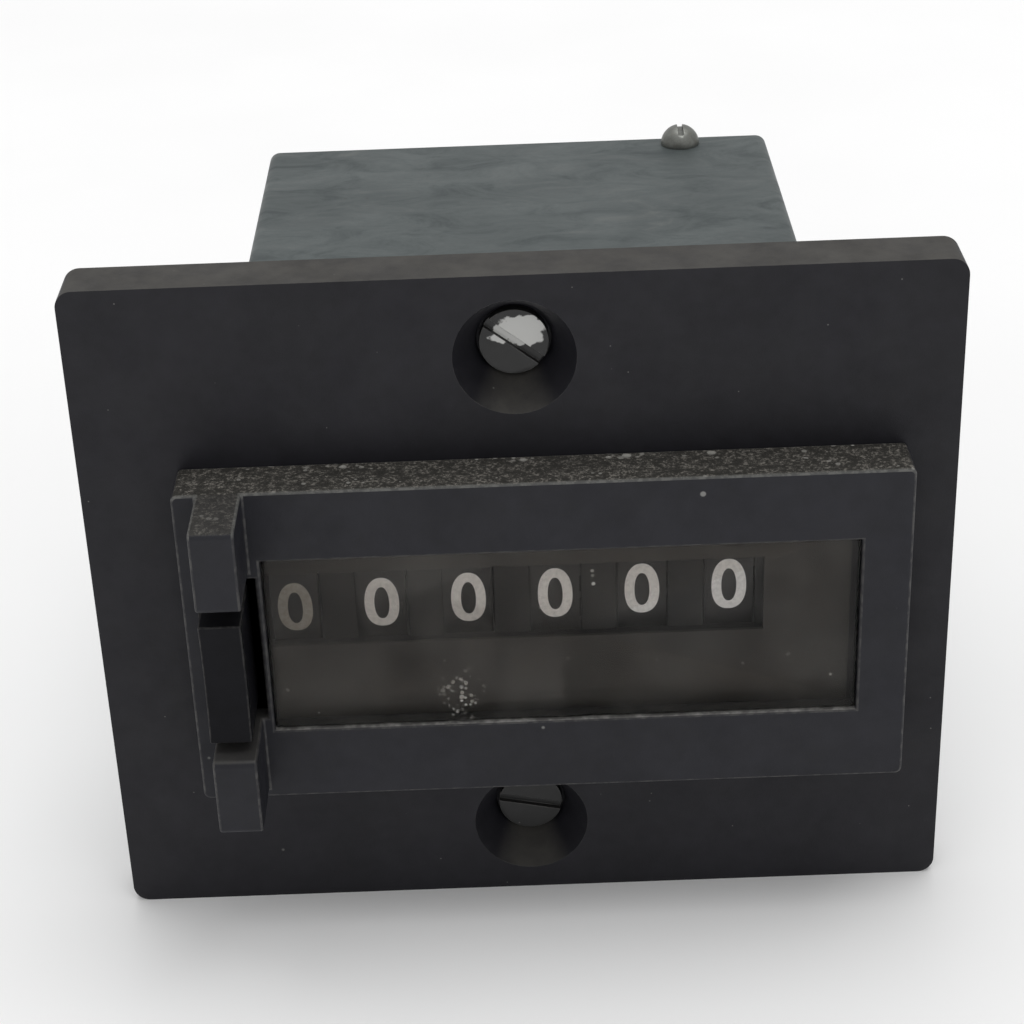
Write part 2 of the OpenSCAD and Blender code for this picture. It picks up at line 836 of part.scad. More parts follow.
module armature() {
  pad_z0 = yoke_arm_z - 1.3;
  tail_w = 3;
  tail_t = 1.2;
  color("slategray")
    difference() {
      union() {
        block([-yoke_w / 2, blade_y, coil_z - coil_d / 2 + 0.6], [yoke_w / 2, blade_y + blade_t, pivot_z]);
        block([tail_x - tail_w / 2, blade_y, pad_z0], [pawl_x0, blade_y + blade_t, pivot_z]);
        bar_x(pivot_y, pivot_z, tail_x - tail_w / 2, pawl_x0, knuckle_r);
        block(
          [tail_x - tail_w / 2, pivot_y, pivot_z - tail_t / 2],
          [tail_x + tail_w / 2, pivot_y + lever_reach + 0.8, pivot_z + tail_t / 2]
        );
      }
      bar_x(pivot_y, pivot_z, tail_x - tail_w, pawl_x0 + 1, pivot_r + run_gap);
    }
}

// arm on the armature that steps the ratchet round
module feed_pawl() {
  arm_z = 10.4;
  arm_h = 1.6;
  tip_y = wheel_y + 2;
  tip_z = wheel_z + ratchet_r + 0.18;
  pad_r = 1.9;
  color("gold")
    difference() {
      slab_x(pawl_x0, pawl_x0 + pawl_t) {
        polygon([
          [tip_y - 0.7, arm_z + arm_h], [tip_y - 0.7, arm_z], [tip_y - 0.3, tip_z],
          [tip_y + 0.3, tip_z], [tip_y + 1, arm_z], [pivot_y, arm_z], [pivot_y, arm_z + arm_h]
        ]);
        translate([pivot_y, pivot_z]) circle(pad_r);
      }
      bar_x(pivot_y, pivot_z, pawl_x0 - 1, pawl_x0 + pawl_t + 1, pivot_r + run_gap);
    }
}

module armature_pin() {
  color("silver") bar_x(pivot_y, pivot_z, left_out, right_out, pivot_r);
}

module armature_spring() {
  color("gainsboro")
    tension_spring(tail_x, pivot_y + lever_reach, rod_low_z + rod_r,
      pivot_z - 0.6, 1.3, 0.2, 14);
}

// ---- magnet ----

function yoke_tab_z() = 3;

module magnet_yoke() {
  arm_y0 = pivot_y + knuckle_r + 0.2;
  plate_h = 5;
  color("lightslategray")
    difference() {
      union() {
        block([coil_x - yoke_w / 2, arm_y0, yoke_arm_z], [coil_x + yoke_w / 2, yoke_y0 + yoke_t, yoke_arm_z + yoke_arm_t]);
        block([coil_x - yoke_w / 2, yoke_y0, coil_z - plate_h], [coil_x + yoke_w / 2, yoke_y0 + yoke_t, yoke_arm_z + yoke_arm_t]);
        block([left_in, yoke_y0, coil_z - plate_h], [right_in, yoke_y0 + yoke_t, coil_z + plate_h]);
        block([left_out, yoke_y0, coil_z - yoke_tab_z()], [right_out, yoke_y0 + yoke_t, coil_z + yoke_tab_z()]);
      }
      bar_y(coil_x, coil_z, yoke_y0 - 1, yoke_y0 + yoke_t + 1, core_tail_d / 2 + run_gap, core_tail_d / 2 + run_gap);
    }
}

module magnet_core() {
  color("slategray") {
    bar_y(coil_x, coil_z, core_y0, yoke_y0, core_d / 2, core_d / 2);
    bar_y(coil_x, coil_z, yoke_y0, yoke_y0 + yoke_t + 0.8, core_tail_d / 2, core_tail_d / 2);
  }
}

module coil_bobbin() {
  cheek_r = coil_d / 2 + 0.8;
  tube_r = core_d / 2 + run_gap + bobbin_wall;
  y1 = bobbin_y0 + coil_len + 2 * cheek_t;
  color("ivory")
    difference() {
      union() {
        bar_y(coil_x, coil_z, bobbin_y0, y1, tube_r, tube_r);
        bar_y(coil_x, coil_z, bobbin_y0, bobbin_y0 + cheek_t, cheek_r, cheek_r);
        bar_y(coil_x, coil_z, y1 - cheek_t, y1, cheek_r, cheek_r);
      }
      bar_y(coil_x, coil_z, bobbin_y0 - 1, y1 + 1, core_d / 2 + run_gap, core_d / 2 + run_gap);
    }
}

module coil_winding() {
  inner_r = core_d / 2 + run_gap + bobbin_wall + run_gap;
  y0 = bobbin_y0 + cheek_t;
  color("peru")
    difference() {
      bar_y(coil_x, coil_z, y0, y0 + coil_len, coil_d / 2, coil_d / 2);
      bar_y(coil_x, coil_z, y0 - 1, y0 + coil_len + 1, inner_r, inner_r);
    }
}

// two insulated wires from the bobbin to the terminals
module coil_leads() {
  y0 = bobbin_y0 + coil_len + 2 * cheek_t;
  lead_r = 0.55;
  color("firebrick")
    for (s = [-1, 1])
      wire([coil_x + s * 4.5, y0 + 0.35, blade_z() + 0.6], [blade_x(s), blade_y0() - 0.3, blade_z()], lead_r);
}

// ---- housing and rear ----

module housing_can() {
  hole_r = tap_r + 0.1;
  color("darkseagreen")
    difference() {
      slab_y(-can_seat, can_depth)
        difference() {
          round_rect([can_x0, -can_h / 2], [can_x1, can_h / 2], can_corner);
          round_rect([can_in_x0, -can_in_z], [can_in_x1, can_in_z], can_corner - can_t);
        }
      for (s = [-1, 1])
        translate([dome_at(s), dome_y, s * can_h / 2])
          cylinder(h = 4 * can_t, r = hole_r, center = true);
    }
}

// the upper cover screw sits to the right, the lower one to the left
function dome_at(s) = s > 0 ? dome_x : can_x0 + can_x1 - dome_x;
function blade_x(s) = (can_x0 + can_x1) / 2 + s * 8;
function blade_z() = -7.4;
function blade_y0() = board_y0 - 3;

module terminal_board() {
  slot_gap = 0.05;
  color("maroon")
    difference() {
      union() {
        slab_y(board_y0, board_y0 + board_t)
          round_rect(
            [can_in_x0 + slip, -can_in_z + slip],
            [can_in_x1 - slip, can_in_z - slip],
            can_corner - can_t
          );
        block([blade_x(0) - 0.8, board_y0 + board_t, blade_z() - 5], [blade_x(0) + 0.8, can_depth + 5, blade_z() + 5]);
      }
      for (s = [-1, 1]) {
        block(
          [blade_x(s) - blade_w / 2 - slot_gap, board_y0 - 1, blade_z() - blade_thick / 2 - slot_gap],
          [blade_x(s) + blade_w / 2 + slot_gap, board_y0 + board_t + 1, blade_z() + blade_thick / 2 + slot_gap]
        );
        translate([dome_at(s), dome_y, s * can_h / 2])
          cylinder(h = 2 * dome_shank + 1, r = tap_r + 0.05, center = true);
      }
    }
}

blade_w = 4.8;
blade_thick = 0.8;
blade_out = 8;

module terminal_blades() {
  eye_r = 0.7;
  color("gold")
    for (s = [-1, 1])
      difference() {
        block(
          [blade_x(s) - blade_w / 2, blade_y0(), blade_z() - blade_thick / 2],
          [blade_x(s) + blade_w / 2, can_depth + blade_out, blade_z() + blade_thick / 2]
        );
        translate([blade_x(s), can_depth + blade_out - 2.2, blade_z()])
          cylinder(h = 4, r = eye_r, center = true);
      }
}

module cover_screws() {
  cut_w = 0.6;
  color("darkseagreen")
    for (s = [-1, 1])
      translate([dome_at(s), dome_y, s * can_h / 2])
        mirror([0, 0, s > 0 ? 0 : 1])
          difference() {
            union() {
              intersection() {
                sphere(dome_r);
                translate([0, 0, dome_r]) cube(2 * dome_r, center = true);
              }
              translate([0, 0, -dome_shank]) cylinder(h = dome_shank, r = tap_r);
            }
            translate([0, 0, dome_r]) cube([cut_w, 3 * dome_r, 1.4], center = true);
          }
}

module panel_screws() {
  seat = -recess_floor_t;
  face = seat - screw_head_h;
  neck_r = screw_neck_d / 2;
  slot_turn = [12, 38];
  color("dimgray")
    for (i = [0, 1])
      translate([0, 0, (i - 0.5) * screw_spacing])
        difference() {
          union() {
            bar_y(0, 0, face, seat, screw_head_d / 2, screw_head_d / 2);
            bar_y(0, 0, seat, 0, neck_r, neck_r);
            bar_y(0, 0, 0, screw_reach, screw_d / 2, screw_d / 2);
          }
          rotate([0, slot_turn[i], 0])
            block(
              [-screw_head_d, face - 1, -screw_slot_w / 2],
              [screw_head_d, face + screw_slot_t, screw_slot_w / 2]
            );
        }
}

flange_plate();
front_bezel();
window_lens();
digit_mask();
reset_key();
reset_comb();
reset_spring();
left_frame();
right_frame();
tie_rods();
frame_screws();
wheel_shaft();
shaft_spacer();
number_wheel(0);  // units_wheel
number_wheel(1);  // tens_wheel
number_wheel(2);  // hundreds_wheel
number_wheel(3);  // thousands_wheel
number_wheel(4);  // ten_thousands_wheel
number_wheel(5);  // hundred_thousands_wheel
pinion_shaft();
pinion_spacers();
carry_pinion(1);  // tens_pinion
carry_pinion(2);  // hundreds_pinion
carry_pinion(3);  // thousands_pinion
carry_pinion(4);  // ten_thousands_pinion
carry_pinion(5);  // hundred_thousands_pinion
detent_spring();
armature();
feed_pawl();
armature_pin();
armature_spring();
magnet_yoke();
magnet_core();
coil_bobbin();
coil_winding();
coil_leads();
housing_can();
terminal_board();
terminal_blades();
cover_screws();
panel_screws();
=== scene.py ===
import json
import math

import bmesh
import bpy
from mathutils import Matrix, Vector


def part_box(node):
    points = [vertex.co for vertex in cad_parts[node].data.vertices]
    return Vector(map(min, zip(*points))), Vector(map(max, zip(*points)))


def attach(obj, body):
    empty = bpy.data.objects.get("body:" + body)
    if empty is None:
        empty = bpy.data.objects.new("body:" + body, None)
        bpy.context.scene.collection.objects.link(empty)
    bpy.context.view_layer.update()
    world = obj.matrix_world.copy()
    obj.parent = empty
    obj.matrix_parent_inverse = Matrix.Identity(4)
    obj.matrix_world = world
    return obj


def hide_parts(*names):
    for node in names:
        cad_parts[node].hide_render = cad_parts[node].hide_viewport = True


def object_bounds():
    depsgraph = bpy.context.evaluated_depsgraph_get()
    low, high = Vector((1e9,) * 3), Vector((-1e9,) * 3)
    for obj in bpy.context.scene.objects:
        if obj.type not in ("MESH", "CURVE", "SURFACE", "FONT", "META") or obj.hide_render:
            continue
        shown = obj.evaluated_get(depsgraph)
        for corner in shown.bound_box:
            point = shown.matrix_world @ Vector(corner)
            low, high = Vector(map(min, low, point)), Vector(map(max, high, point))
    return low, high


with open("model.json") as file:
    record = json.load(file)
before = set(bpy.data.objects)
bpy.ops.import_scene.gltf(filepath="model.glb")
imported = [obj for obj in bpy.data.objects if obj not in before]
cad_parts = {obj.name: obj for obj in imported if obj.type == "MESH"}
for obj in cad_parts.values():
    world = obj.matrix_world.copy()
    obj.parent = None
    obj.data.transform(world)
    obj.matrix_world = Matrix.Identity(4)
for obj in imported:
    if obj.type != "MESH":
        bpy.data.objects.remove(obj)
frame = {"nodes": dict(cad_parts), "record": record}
cad_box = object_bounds()

MM = 0.001
RECORD = frame["record"]
WHEELS = ["units", "tens", "hundreds", "thousands", "ten_thousands", "hundred_thousands"]


def node_box(node):
    """Lowest and highest corner of a CAD node in millimetres."""
    low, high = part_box(node)
    return Vector(low) / MM, Vector(high) / MM


# ---------------------------------------------------------------- materials

class Shader:
    """One node material with a Principled shader, measured in millimetres."""

    def __init__(self, name):
        self.material = bpy.data.materials.new(name)
        self.material.use_nodes = True
        self.tree = self.material.node_tree
        self.nodes = self.tree.nodes
        self.main = self.nodes["Principled BSDF"]
        self.out = self.nodes["Material Output"]
        place = self.nodes.new("ShaderNodeTexCoord")
        scale = self.nodes.new("ShaderNodeVectorMath")
        scale.operation = "SCALE"
        scale.inputs["Scale"].default_value = 1 / MM
        self.link(place.outputs["Object"], scale.inputs[0])
        self.mm = scale.outputs[0]

    def link(self, a, b):
        self.tree.links.new(a, b)

    def put(self, value, socket):
        """A number, a colour or another node's output goes into a socket."""
        if isinstance(value, bpy.types.NodeSocket):
            self.link(value, socket)
        elif isinstance(value, (tuple, list)) and len(value) == 3 and socket.type == "RGBA":
            socket.default_value = (*value, 1)
        else:
            socket.default_value = value

    def noise(self, size, detail=3, rough=0.5, stretch=(1, 1, 1), warp=0):
        """Noise between 0 and 1 whose features are about size mm across."""
        n = self.nodes.new("ShaderNodeTexNoise")
        n.inputs["Scale"].default_value = 1 / size
        n.inputs["Detail"].default_value = detail
        n.inputs["Roughness"].default_value = rough
        n.inputs["Distortion"].default_value = warp
        self.link(self.stretched(stretch), n.inputs["Vector"])
        return n.outputs["Fac"]

    def stretched(self, stretch):
        if tuple(stretch) == (1, 1, 1):
            return self.mm
        s = self.nodes.new("ShaderNodeVectorMath")
        s.operation = "MULTIPLY"
        s.inputs[1].default_value = stretch
        self.link(self.mm, s.inputs[0])
        return s.outputs[0]

    def math(self, op, a, b=0.0, clamp=False):
        n = self.nodes.new("ShaderNodeMath")
        n.operation = op
        n.use_clamp = clamp
        self.put(a, n.inputs[0])
        self.put(b, n.inputs[1])
        return n.outputs[0]

    def times(self, *values):
        """The product of two or more values."""
        total = values[0]
        for value in values[1:]:
            total = self.math("MULTIPLY", total, value)
        return total

    def plus(self, a, b, clamp=False):
        """a + b, kept between 0 and 1 if clamp is set."""
        return self.math("ADD", a, b, clamp)

    def less(self, a, b):
        """a - b."""
        return self.math("SUBTRACT", a, b)

    def most(self, a, b):
        """The larger of a and b."""
        return self.math("MAXIMUM", a, b)

    def span(self, value, low, high, to_low=0.0, to_high=1.0):
        """Smooth step: low..high becomes to_low..to_high."""
        n = self.nodes.new("ShaderNodeMapRange")
        n.interpolation_type = "SMOOTHSTEP"
        self.put(value, n.inputs["Value"])
        for name, v in (("From Min", low), ("From Max", high), ("To Min", to_low), ("To Max", to_high)):
            self.put(v, n.inputs[name])
        return n.outputs["Result"]

    def mix(self, fac, a, b):
        n = self.nodes.new("ShaderNodeMix")
        n.data_type = "RGBA"
        self.put(fac, n.inputs[0])
        self.put(a, n.inputs[6])
        self.put(b, n.inputs[7])
        return n.outputs[2]

    def axis(self, letter):
        n = self.nodes.new("ShaderNodeSeparateXYZ")
        self.link(self.mm, n.inputs[0])
        return n.outputs["XYZ".index(letter)]

    def facing(self, letter, low=0.55, high=0.9):
        """1 where the surface faces along +letter, in the row frame."""
        g = self.nodes.new("ShaderNodeNewGeometry")
        n = self.nodes.new("ShaderNodeSeparateXYZ")
        self.link(g.outputs["Normal"], n.inputs[0])
        return self.span(n.outputs["XYZ".index(letter)], low, high)

    def attribute(self, name):
        n = self.nodes.new("ShaderNodeAttribute")
        n.attribute_name = name
        return n.outputs["Fac"]

    def near(self, point, radius, soft, axes="XYZ"):
        """1 within radius mm of a point, fading out over soft mm."""
        total = 0.0
        for letter, at in zip(axes, point):
            d = self.less(self.axis(letter), at)
            total = self.plus(self.times(d, d), total)
        return self.span(self.math("SQRT", total), radius, radius + soft, 1.0, 0.0)

    def specks(self, cell, size, share, seed=0.0):
        """Sparse round specks: cell mm apart, size mm across, in a share of the cells."""
        v = self.nodes.new("ShaderNodeTexVoronoi")
        v.inputs["Scale"].default_value = 1 / cell
        shift = self.nodes.new("ShaderNodeVectorMath")
        shift.inputs[1].default_value = (seed, seed * 1.7, seed * 0.6)
        self.link(self.mm, shift.inputs[0])
        self.link(shift.outputs[0], v.inputs["Vector"])
        pick = self.nodes.new("ShaderNodeSeparateColor")
        self.link(v.outputs["Color"], pick.inputs[0])
        chosen = self.math("LESS_THAN", pick.outputs[0], share)
        reach = self.times(pick.outputs[1], size / cell)
        edge = self.times(reach, 0.6)
        dot = self.span(v.outputs["Distance"], edge, reach, 1.0, 0.0)
        return self.times(dot, chosen)

    def set(self, **values):
        for name, value in values.items():
            self.put(value, self.main.inputs[name.replace("_", " ")])

    def bump(self, height, depth_mm):
        """Bump from a 0..1 height that stands for depth_mm of relief."""
        b = self.nodes.new("ShaderNodeBump")
        b.inputs["Strength"].default_value = 1.0
        b.inputs["Distance"].default_value = depth_mm * MM
        self.put(height, b.inputs["Height"])
        self.link(b.outputs[0], self.main.inputs["Normal"])


def grey(level, warm=0.0):
    """A grey of that linear level, warmer or cooler by a small share."""
    return (level * (1 + warm), level, level * (1 - warm))


# Faces of the bezel that carry dust, and the sill level that also carries a painted highlight, in mm of
# the row frame.
BEZEL_FRONT_Y = -10.0
GRIT_FROM_Z = 14.15
SILL_Z = -9.2
BACK_CRUMBS_Y = (-6.6, -5.5)

# The mask sheet's front, and the depth from which it is wheel black as painted shade in the gaps between
# the drums, in mm.
MASK_FRONT_Y = -7.18
MASK_DEEP_Y = -7.00

# Linear colours of the plastics, of the dust on them and of the dust with painted highlight on the
# bezel's lip and sill.
FLANGE_COLOUR = (0.0105, 0.0102, 0.0135)
BEZEL_COLOUR = (0.0120, 0.0122, 0.0165)
KEY_COLOUR = (0.0058, 0.0058, 0.0076)
MASK_COLOUR = (0.0260, 0.0250, 0.0230)
MASK_TINT = (0.044, 0.036, 0.030)
WHEEL_COLOUR = (0.0060, 0.0058, 0.0062)
DUST_PALE = (0.34, 0.335, 0.32)
DUST_BROWN = (0.062, 0.059, 0.053)
GRIT_DARK = (0.034, 0.032, 0.028)
GRIT_PALE = (0.235, 0.220, 0.195)
CRUMB_PALE = (0.40, 0.39, 0.36)
LIP_DUST_AND_HIGHLIGHT = (0.17, 0.17, 0.16)
SILL_DUST_AND_HIGHLIGHT = (0.24, 0.235, 0.225)
BLACK_SPECULAR = 0.28


def bezel_dust(s, base, up, edge, scuff, grime, grit):
    """Thick dust on the bezel's top; dust and painted highlight on its front lip and the window's sill;
    returns colour and top.
    """
    height, depth = s.axis("Z"), s.axis("Y")
    on_top = s.times(up, s.span(height, GRIT_FROM_Z - 0.2, GRIT_FROM_Z))
    behind = s.span(depth, BEZEL_FRONT_Y - 0.1, BEZEL_FRONT_Y + 0.25, 0.42, 1.0)
    clump = s.span(s.noise(0.75, 4, 0.7), 0.34, 0.68)
    gritty = s.mix(s.span(s.times(clump, grime), 0.0, 0.6), GRIT_DARK, GRIT_PALE)
    crumb = s.times(s.specks(0.62, 0.36, 0.12, 1.3), 0.6)
    back = s.times(s.specks(0.8, 0.55, 0.30, 6.1), s.span(depth, *BACK_CRUMBS_Y))
    gritty = s.mix(s.most(crumb, back), gritty, CRUMB_PALE)
    base = s.mix(s.times(on_top, behind, grit), base, gritty)
    # Paler top front lip: dust and a painted highlight of the lit edge band.
    lip = s.times(edge, s.span(height, GRIT_FROM_Z - 0.4, GRIT_FROM_Z), 0.55)
    base = s.mix(s.times(lip, s.span(scuff, 0, 1, 0.6, 1.0)), base, LIP_DUST_AND_HIGHLIGHT)
    # Pale strip on the window's bottom edge: dust and a painted highlight of its bright edge line.
    above = s.span(height, SILL_Z - 0.3, SILL_Z - 0.1)
    below = s.span(height, SILL_Z + 0.3, SILL_Z + 0.1)
    sill = s.times(up, above, below)
    patchy = s.span(s.noise(1.1, 4, 0.7), 0.40, 0.66, 0.25, 1.0)
    return s.mix(s.times(sill, patchy), base, SILL_DUST_AND_HIGHLIGHT), on_top


def black_plastic(
    name, colour, rough, specks=0.35, dust=0.5, grit=0.0, edge_wear_and_highlight=0.6, grain=0.012, specular=BLACK_SPECULAR
):
    """Moulded plastic with fine grain, dust on its upper faces and paler edges, partly wear and partly a
    painted edge highlight.
    """
    s = Shader(name)
    tone = s.plus(s.times(s.noise(14, 4, 0.55), 0.55), s.times(s.noise(1.6, 4, 0.6), 0.45))
    base = s.mix(s.span(tone, 0.3, 0.7), [c * 0.78 for c in colour], [c * 1.26 for c in colour])
    # Paler rounded edges: wear together with a painted edge highlight.
    edge = s.attribute("worn")
    scuff = s.span(s.noise(0.9, 4, 0.65), 0.42, 0.62)
    pale = sum(colour) / 3 * 3.4 + 0.018
    base = s.mix(s.times(edge, s.plus(scuff, 0.35), edge_wear_and_highlight), base, grey(min(1, pale), 0.03))
    fine = s.specks(1.5, 0.16, specks * 0.5, 8.7)
    dots = s.most(s.specks(4.4, 0.34, specks, 3.1), s.times(fine, 0.5))
    base = s.mix(s.times(dots, 0.6), base, DUST_PALE)
    up = s.facing("Z", 0.6, 0.9)
    film = s.span(s.noise(3.2, 5, 0.65), 0.25, 0.75, 0.55, 1.0)
    base = s.mix(s.times(up, film, dust), base, DUST_BROWN)
    grime = s.span(s.noise(0.3, 3, 0.75), 0.38, 0.72)
    if grit:
        base, up = bezel_dust(s, base, up, edge, scuff, grime, grit)
    patchy = s.span(s.noise(5, 4, 0.6), 0.3, 0.7, rough - 0.07, rough + 0.07)
    s.set(Base_Color=base, Specular_IOR_Level=specular)
    s.set(Roughness=s.plus(patchy, s.times(s.most(dots, up), 0.2), clamp=True))
    relief = s.plus(s.noise(0.16, 3, 0.6), s.times(s.noise(7, 3), 1.4))
    s.bump(s.plus(relief, s.times(up, grime, grit * 9)), grain)
    return s


def metal(name, colour, rough, stain=0.3, stain_colour=(0.2, 0.2, 0.17), size=6, line=(1, 1, 1)):
    """Plain steel, zinc or brass: blotches, fine drawn lines and uneven gloss."""
    s = Shader(name)
    blotch = s.noise(size, 6, 0.62, warp=0.6)
    fine = s.noise(size / 9, 5, 0.7)
    tone = s.plus(s.times(blotch, 0.7), s.times(fine, 0.3))
    base = s.mix(s.span(tone, 0.28, 0.74), [c * 0.72 for c in colour], [min(1, c * 1.15) for c in colour])
    marks = s.span(s.noise(size * 0.7, 6, 0.7, warp=1.2), 0.52, 0.70)
    base = s.mix(s.times(marks, stain), base, stain_colour)
    edge = s.times(s.attribute("worn"), 0.35)
    base = s.mix(edge, base, [min(1, c * 1.5) for c in colour])
    s.set(Base_Color=base, Metallic=0.9)
    s.set(Roughness=s.span(tone, 0.3, 0.7, rough + 0.08, rough - 0.06))
    lines = s.noise(0.18, 3, 0.7, stretch=line)
    s.bump(s.plus(lines, s.times(blotch, 0.8)), 0.006)
    return s


def can_material():
    """Zinc-plated sheet steel: grey-green, clouded, with darker water stains."""
    s = Shader("can_zinc")
    cloud = s.noise(17, 5, 0.6, stretch=(0.7, 1.1, 1), warp=0.5)
    blotch = s.noise(4.5, 6, 0.68, stretch=(0.55, 1.1, 1), warp=0.9)
    fine = s.noise(0.6, 4, 0.7)
    base = s.mix(s.span(cloud, 0.3, 0.7), (0.058, 0.071, 0.072), (0.094, 0.110, 0.110))
    base = s.mix(s.span(blotch, 0.50, 0.72, 0.0, 0.6), base, (0.034, 0.042, 0.046))
    base = s.mix(s.span(blotch, 0.42, 0.28, 0.0, 0.4), base, (0.125, 0.135, 0.127))
    base = s.mix(s.span(fine, 0.35, 0.75, 0.0, 0.22), base, (0.048, 0.056, 0.055))
    pits = s.specks(2.4, 0.28, 0.22, 5.5)
    base = s.mix(s.times(pits, 0.5), base, (0.045, 0.048, 0.042))
    pale = s.specks(5.0, 0.30, 0.25, 9.2)
    base = s.mix(s.times(pale, 0.45), base, (0.42, 0.43, 0.38))
    cut = s.attribute("worn")
    base = s.mix(s.times(cut, s.span(fine, 0.3, 0.7, 0.2, 0.7)), base, (0.34, 0.35, 0.33))
    s.set(Base_Color=base, Metallic=0.45)
    s.set(Roughness=s.span(blotch, 0.3, 0.7, 0.42, 0.62))
    rolled = s.noise(0.35, 3, 0.6, stretch=(1, 0.08, 1))
    s.bump(s.plus(s.times(rolled, 0.5), s.noise(2.2, 4, 0.6)), 0.02)
    return s


def acrylic_material():
    """Clear window: mirror gloss by Fresnel, a dust film, specks and one scratched smudge."""
    s = Shader("clear_acrylic")
    clear = s.nodes.new("ShaderNodeBsdfTransparent")
    clear.inputs["Color"].default_value = (1.0, 0.99, 0.98, 1)
    gloss = s.nodes.new("ShaderNodeBsdfGlossy")
    gloss.inputs["Color"].default_value = (0.21, 0.21, 0.215, 1)
    gloss.inputs["Roughness"].default_value = 0.10
    fresnel = s.nodes.new("ShaderNodeFresnel")
    fresnel.inputs["IOR"].default_value = 1.33
    glass = s.nodes.new("ShaderNodeMixShader")
    s.link(fresnel.outputs[0], glass.inputs[0])
    s.link(clear.outputs[0], glass.inputs[1])
    s.link(gloss.outputs[0], glass.inputs[2])
    smudge_at, smudge_r = (-5.6, -7.2), 0.3
    dot_at, dot_r = (6.0, 4.3), 0.10
    scratches = s.span(s.noise(0.34, 4, 0.8, warp=1.5), 0.62, 0.70)
    streaks = s.most(s.specks(0.40, 0.34, 0.30, 2.2), scratches)
    smudge = s.times(s.near(smudge_at, smudge_r, 2.4, "XZ"), streaks)
    low = s.span(s.axis("Z"), -3.0, -8.6)
    crumbs = s.times(s.specks(1.3, 0.26, 0.34, 4.4), s.plus(s.times(low, 0.8), 0.08))
    film = s.times(s.span(s.noise(6, 5, 0.65), 0.3, 0.8), 0.05)
    dust = s.most(s.times(smudge, 0.75), s.times(crumbs, 0.6))
    dust = s.most(dust, s.times(s.near(dot_at, dot_r, 0.12, "XZ"), 0.9))
    front = s.facing("Y", -0.6, -0.9)
    dust = s.times(s.plus(dust, film, clamp=True), front)
    s.set(Base_Color=(0.42, 0.41, 0.38), Roughness=0.8)
    top = s.nodes.new("ShaderNodeMixShader")
    s.link(dust, top.inputs[0])
    s.link(glass.outputs[0], top.inputs[1])
    s.link(s.main.outputs[0], top.inputs[2])
    s.link(top.outputs[0], s.out.inputs["Surface"])
    return s


def ink_material(name, colour, worn):
    """White figure print on a wheel, thinned and chipped a little."""
    s = Shader(name)
    thin = s.span(s.noise(0.35, 4, 0.7), 0.35, 0.7, 0.0, worn)
    base = s.mix(thin, colour, [c * 0.45 for c in colour])
    s.set(Base_Color=base, Roughness=s.span(s.noise(0.8, 3), 0.3, 0.7, 0.5, 0.65))
    s.bump(s.noise(0.12, 2), 0.004)
    return s


def winding_material():
    """Enamelled copper wire wound in close turns round the Y axis."""
    s = Shader("winding_copper")
    wave = s.nodes.new("ShaderNodeTexWave")
    wave.wave_type = "BANDS"
    wave.bands_direction = "Y"
    wave.inputs["Scale"].default_value = 1.6
    wave.inputs["Distortion"].default_value = 0.15
    s.link(s.mm, wave.inputs["Vector"])
    turns = wave.outputs["Fac"]
    base = s.mix(turns, (0.16, 0.045, 0.018), (0.52, 0.20, 0.08))
    base = s.mix(s.span(s.noise(3, 4), 0.45, 0.75, 0, 0.4), base, (0.22, 0.09, 0.04))
    s.set(Base_Color=base, Metallic=0.6, Roughness=s.span(s.noise(2, 3), 0.3, 0.7, 0.28, 0.42))
    s.bump(turns, 0.06)
    return s


def mask_material():
    """Brown-black mask sheet: dusty in front, wheel black on the bars behind its slot as painted shade
    between the drums.
    """
    s = black_plastic("mask_brown", MASK_COLOUR, 0.62, specks=0.25, dust=0.2, edge_wear_and_highlight=0.1, grain=0.003)
    base = s.main.inputs["Base Color"].links[0].from_socket
    tint = s.span(s.noise(9, 4, 0.6), 0.3, 0.7)
    base = s.mix(s.times(tint, 0.35), base, MASK_TINT)
    # The bars behind the slot are painted wheel black to stand in for the shaded gaps between the drums.
    painted_gap_shade = s.span(s.axis("Y"), MASK_FRONT_Y, MASK_DEEP_Y)
    s.set(Base_Color=s.mix(painted_gap_shade, base, WHEEL_COLOUR))
    return s


def screw_head_material():
    """Blackened screw with a pale patch on the upper head."""
    s = black_plastic("screw_black", grey(0.016), 0.42, specks=0.1, dust=0.2, edge_wear_and_highlight=0.9, specular=0.5)
    base = s.main.inputs["Base Color"].links[0].from_socket
    pale_patch_at, pale_patch_r = (0.35, 24.55), 1.25
    ragged = s.times(s.less(s.noise(1.3, 3, 0.5), 0.5), 1.9)
    dx = s.times(s.less(s.axis("X"), pale_patch_at[0]), 0.62)
    dz = s.less(s.axis("Z"), pale_patch_at[1])
    far = s.math("SQRT", s.plus(s.times(dx, dx), s.times(dz, dz)))
    pale_patch = s.span(s.plus(far, ragged), pale_patch_r, pale_patch_r + 0.18, 1.0, 0.0)
    pale_patch = s.times(pale_patch, s.facing("Y", -0.5, -0.8))
    s.set(Base_Color=s.mix(pale_patch, base, (0.62, 0.62, 0.60)))
    return s


def stage_material():
    """Matt, nearly white ground with a faint unevenness."""
    s = Shader("pale_floor")
    base = s.mix(s.span(s.noise(60, 3), 0.3, 0.7), grey(0.885), grey(0.905))
    s.set(Base_Color=base, Roughness=0.9, Specular_IOR_Level=0.1)
    return s


